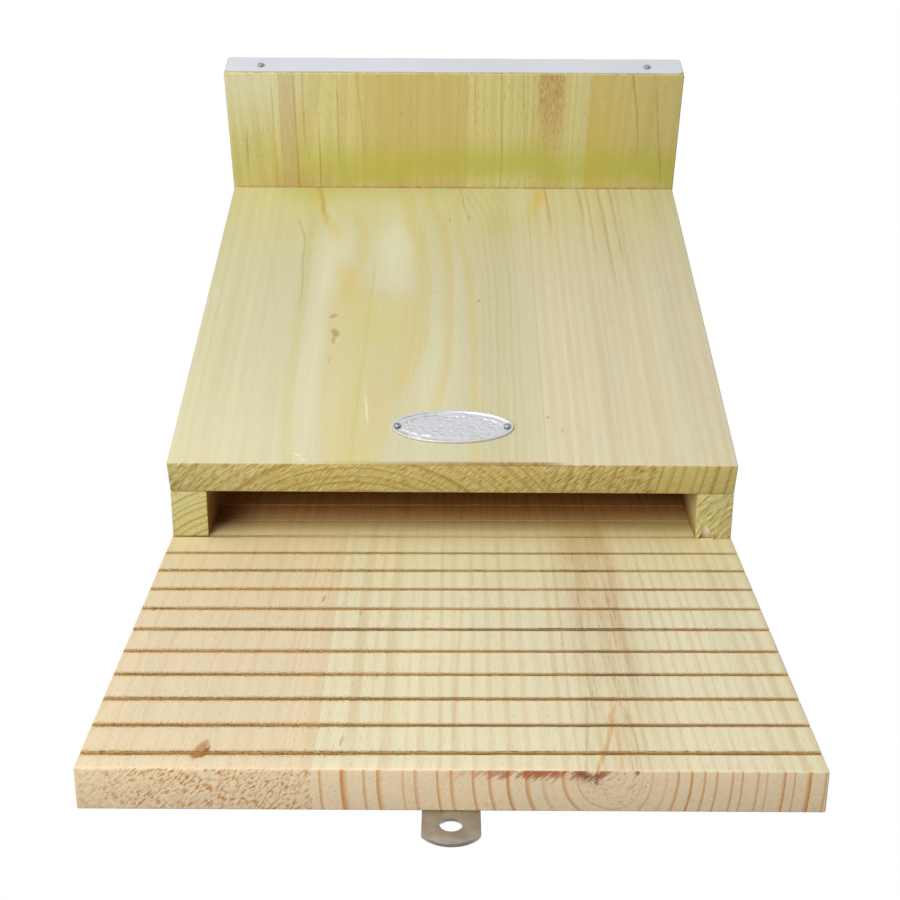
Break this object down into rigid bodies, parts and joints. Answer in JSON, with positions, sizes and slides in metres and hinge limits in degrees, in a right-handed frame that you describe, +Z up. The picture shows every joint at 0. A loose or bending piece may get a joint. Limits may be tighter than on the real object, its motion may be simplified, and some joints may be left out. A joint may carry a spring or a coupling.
{
  "type": "bat box",
  "caption": "Wall-hung timber bat box: kerfed landing board, wedge-shaped roosting chamber over an entry slot, and a roof board under a folded zinc sheet.",
  "frame": {"origin": "on the wall plane, at the back face of the lower hanger, level with the lower end of the back board and in the middle of its width", "axes": "+Z up along the back board, +Y into the wall, so the front with the entry slot and landing board faces -Y, +X to the right as seen from the front"},
  "size_m": [0.28, 0.2247, 0.581],
  "materials": {
    "pine_back": "bare planed pine, edge glued",
    "pine_front": "bare planed pine with a green tinge",
    "pine_side": "bare sawn pine",
    "pine_roof": "bare planed pine with a green tinge",
    "zinc_sheet": "dull zinc",
    "plate_metal": "stamped, satin",
    "hanger_steel": "dull plated steel",
    "screw_steel": "yellow plated",
    "nail_steel": "bright nail heads"
  },
  "bodies": {
    "root": {"back_board": "pine_back", "side_board_left": "pine_side", "side_board_right": "pine_side", "front_board": "pine_front", "roof_board": "pine_roof", "roof_sheet": "zinc_sheet", "oval_plate": "plate_metal", "hanger_lower": "hanger_steel", "hanger_upper": "hanger_steel", "back_screw_left_1": "screw_steel", "back_screw_left_2": "screw_steel", "back_screw_left_3": "screw_steel", "roof_screw_left_1": "screw_steel", "roof_screw_left_2": "screw_steel", "sheet_nail_front_left": "nail_steel", "sheet_nail_rear_left": "nail_steel", "plate_nail_left": "nail_steel", "back_screw_right_1": "screw_steel", "back_screw_right_2": "screw_steel", "back_screw_right_3": "screw_steel", "roof_screw_right_1": "screw_steel", "roof_screw_right_2": "screw_steel", "sheet_nail_front_right": "nail_steel", "sheet_nail_rear_right": "nail_steel", "plate_nail_right": "nail_steel", "hanger_screw_lower_1": "screw_steel", "hanger_screw_lower_2": "screw_steel", "hanger_screw_upper_1": "screw_steel", "hanger_screw_upper_2": "screw_steel"}
  },
  "joints": []
}
